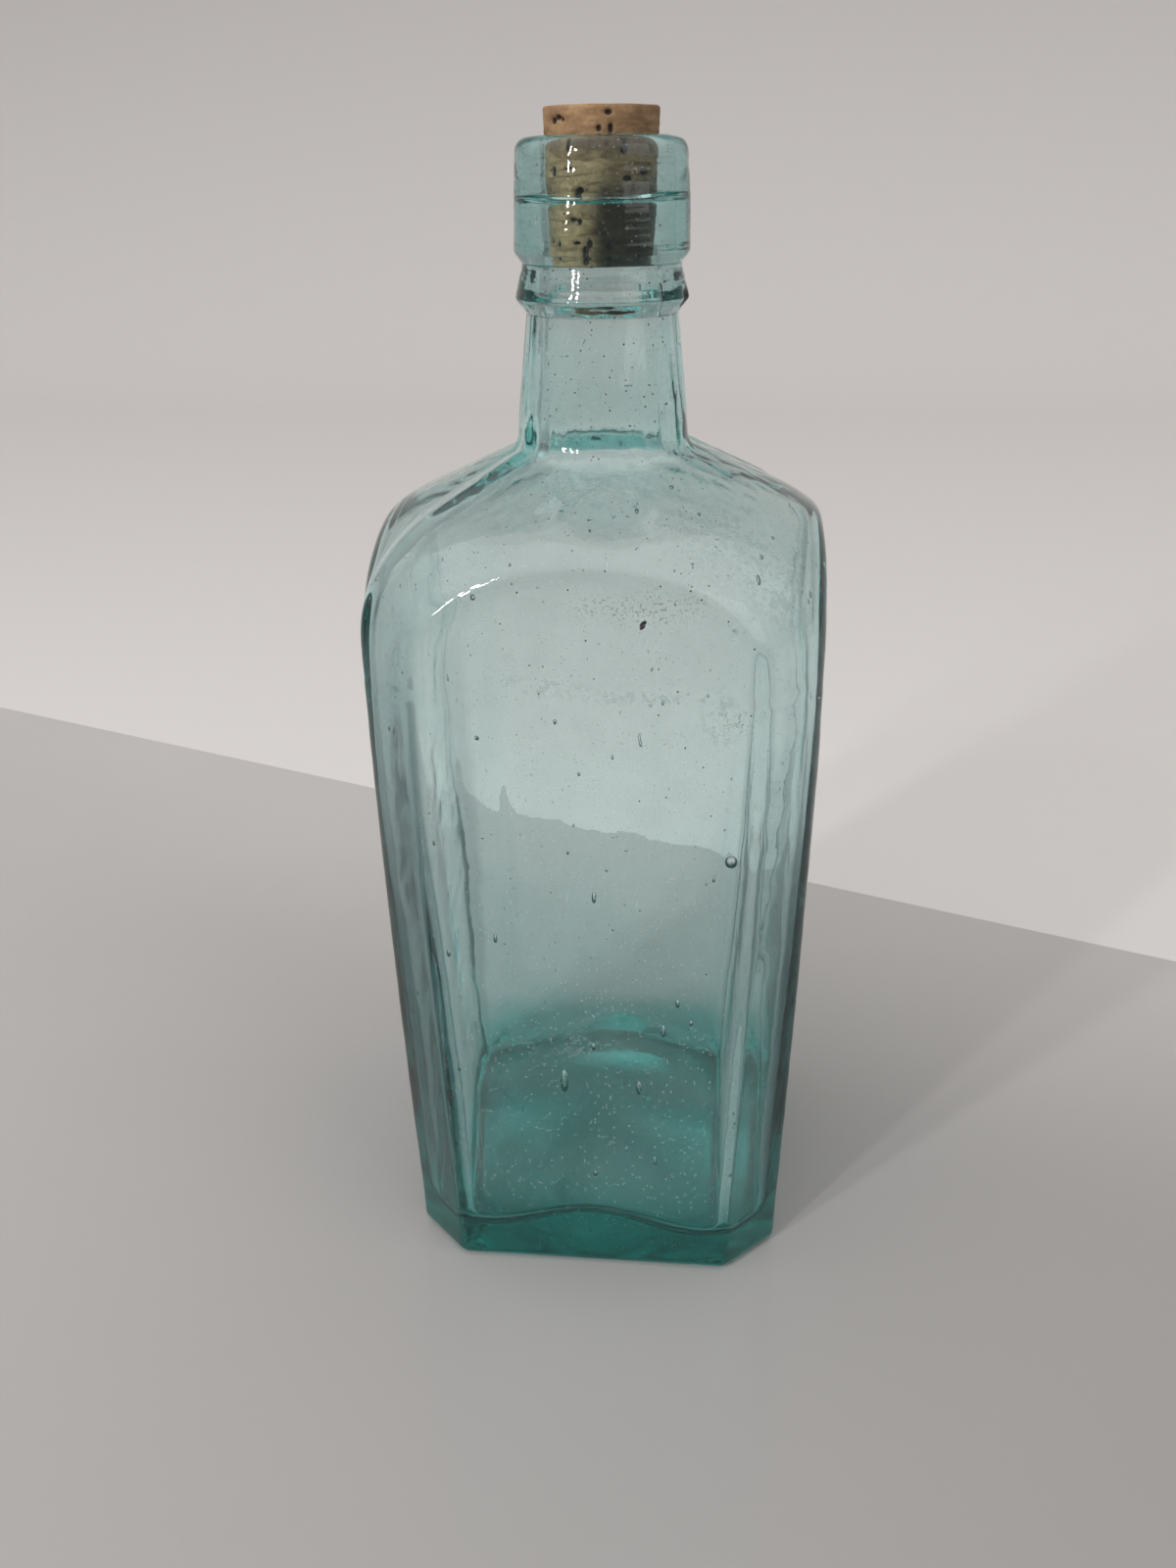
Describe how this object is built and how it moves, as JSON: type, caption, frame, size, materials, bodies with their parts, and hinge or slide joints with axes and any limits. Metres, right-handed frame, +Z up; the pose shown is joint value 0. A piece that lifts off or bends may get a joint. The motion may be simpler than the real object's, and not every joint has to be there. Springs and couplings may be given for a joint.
{
  "type": "gin bottle",
  "caption": "Square mould-blown glass gin bottle with cut corners, a domed shoulder, a tooled ringed lip and a cork stopper that pulls out.",
  "frame": {"origin": "middle of the foot, on the surface that the bottle stands on", "axes": "+Z up along the bottle's axis to the mouth, -Y to the front face, +X to the right"},
  "size_m": [0.0852, 0.0852, 0.2267],
  "materials": {
    "body_glass": "clear aqua blown glass, slightly wavy",
    "lip_glass": "clear aqua glass, tooled by hand",
    "cork": "natural cork, aged"
  },
  "bodies": {
    "bottle": {"glass_body": "body_glass", "applied_lip": "lip_glass"},
    "cork": {"cork_stopper": "cork"}
  },
  "joints": [
    {"name": "cork_pull", "type": "slide", "parent": "bottle", "child": "cork", "axis": [0, 0, 1], "range_m": [0, 0.055]}
  ]
}
